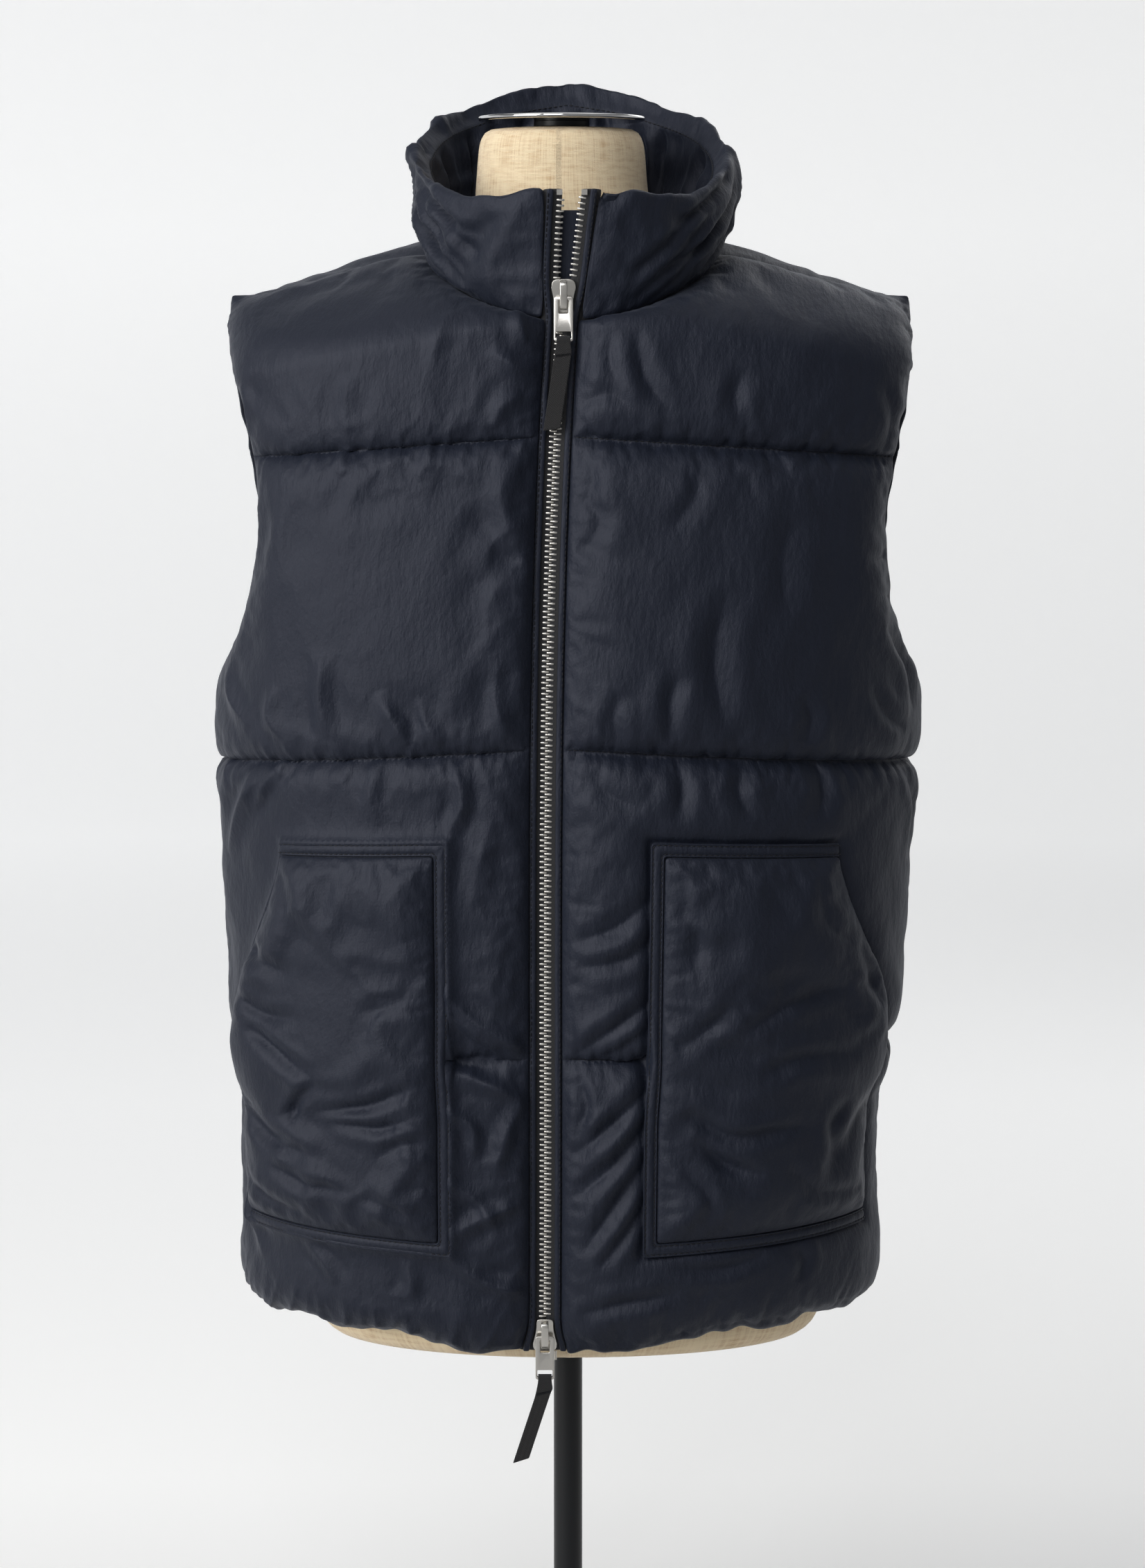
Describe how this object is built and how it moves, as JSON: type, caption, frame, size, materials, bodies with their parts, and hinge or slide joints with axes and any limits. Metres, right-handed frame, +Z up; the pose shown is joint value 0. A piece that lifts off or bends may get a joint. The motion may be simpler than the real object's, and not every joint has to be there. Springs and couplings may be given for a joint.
{
  "type": "padded vest on a dress form",
  "caption": "Sleeveless padded vest with stand collar, two-way zip and patch pockets, worn on a linen-covered dress form with pole and round base.",
  "frame": {"origin": "centre of the underside of the dress form's round base, on the floor", "axes": "+Z up along the pole; -Y is the front, where the zip is; +X is the wearer's left, to the right as seen from the front"},
  "size_m": [0.4562, 0.34, 1.1601],
  "materials": {
    "shell": "navy-black satin-weave nylon, soft sheen, padded",
    "tape": "black woven polyester zip tape, matt",
    "webbing": "black herringbone webbing, matt",
    "zip_metal": "satin nickel plate",
    "linen": "natural linen, plain weave, matt",
    "chrome": "polished chrome",
    "stand": "black satin powder coat"
  },
  "bodies": {
    "vest_on_form": {"front_left": "shell", "front_right": "shell", "back": "shell", "collar": "shell", "placket_left": "shell", "placket_right": "shell", "pocket_left": "shell", "pocket_right": "shell", "pocket_trim_left": "shell", "pocket_trim_right": "shell", "zip_tape_left": "tape", "zip_tape_right": "tape", "stop_left": "zip_metal", "stop_right": "zip_metal", "zip_pin": "zip_metal", "slider_top": "zip_metal", "slider_bottom": "zip_metal", "torso": "linen", "neck_plate": "chrome", "pole": "stand", "base": "stand"},
    "top_pull": {"pull_top": "zip_metal", "webbing_top": "webbing"},
    "bottom_pull": {"pull_bottom": "zip_metal", "webbing_bottom": "webbing"}
  },
  "joints": [
    {"name": "top_pull_swing", "type": "hinge", "parent": "vest_on_form", "child": "top_pull", "pos_m": [-0.00259, -0.11512, 1.01775], "axis": [-1, 0, 0], "range_deg": [0, 130]},
    {"name": "bottom_pull_swing", "type": "hinge", "parent": "vest_on_form", "child": "bottom_pull", "pos_m": [-0.0146, -0.1249, 0.36015], "axis": [-1, 0, 0], "range_deg": [0, 130]}
  ]
}
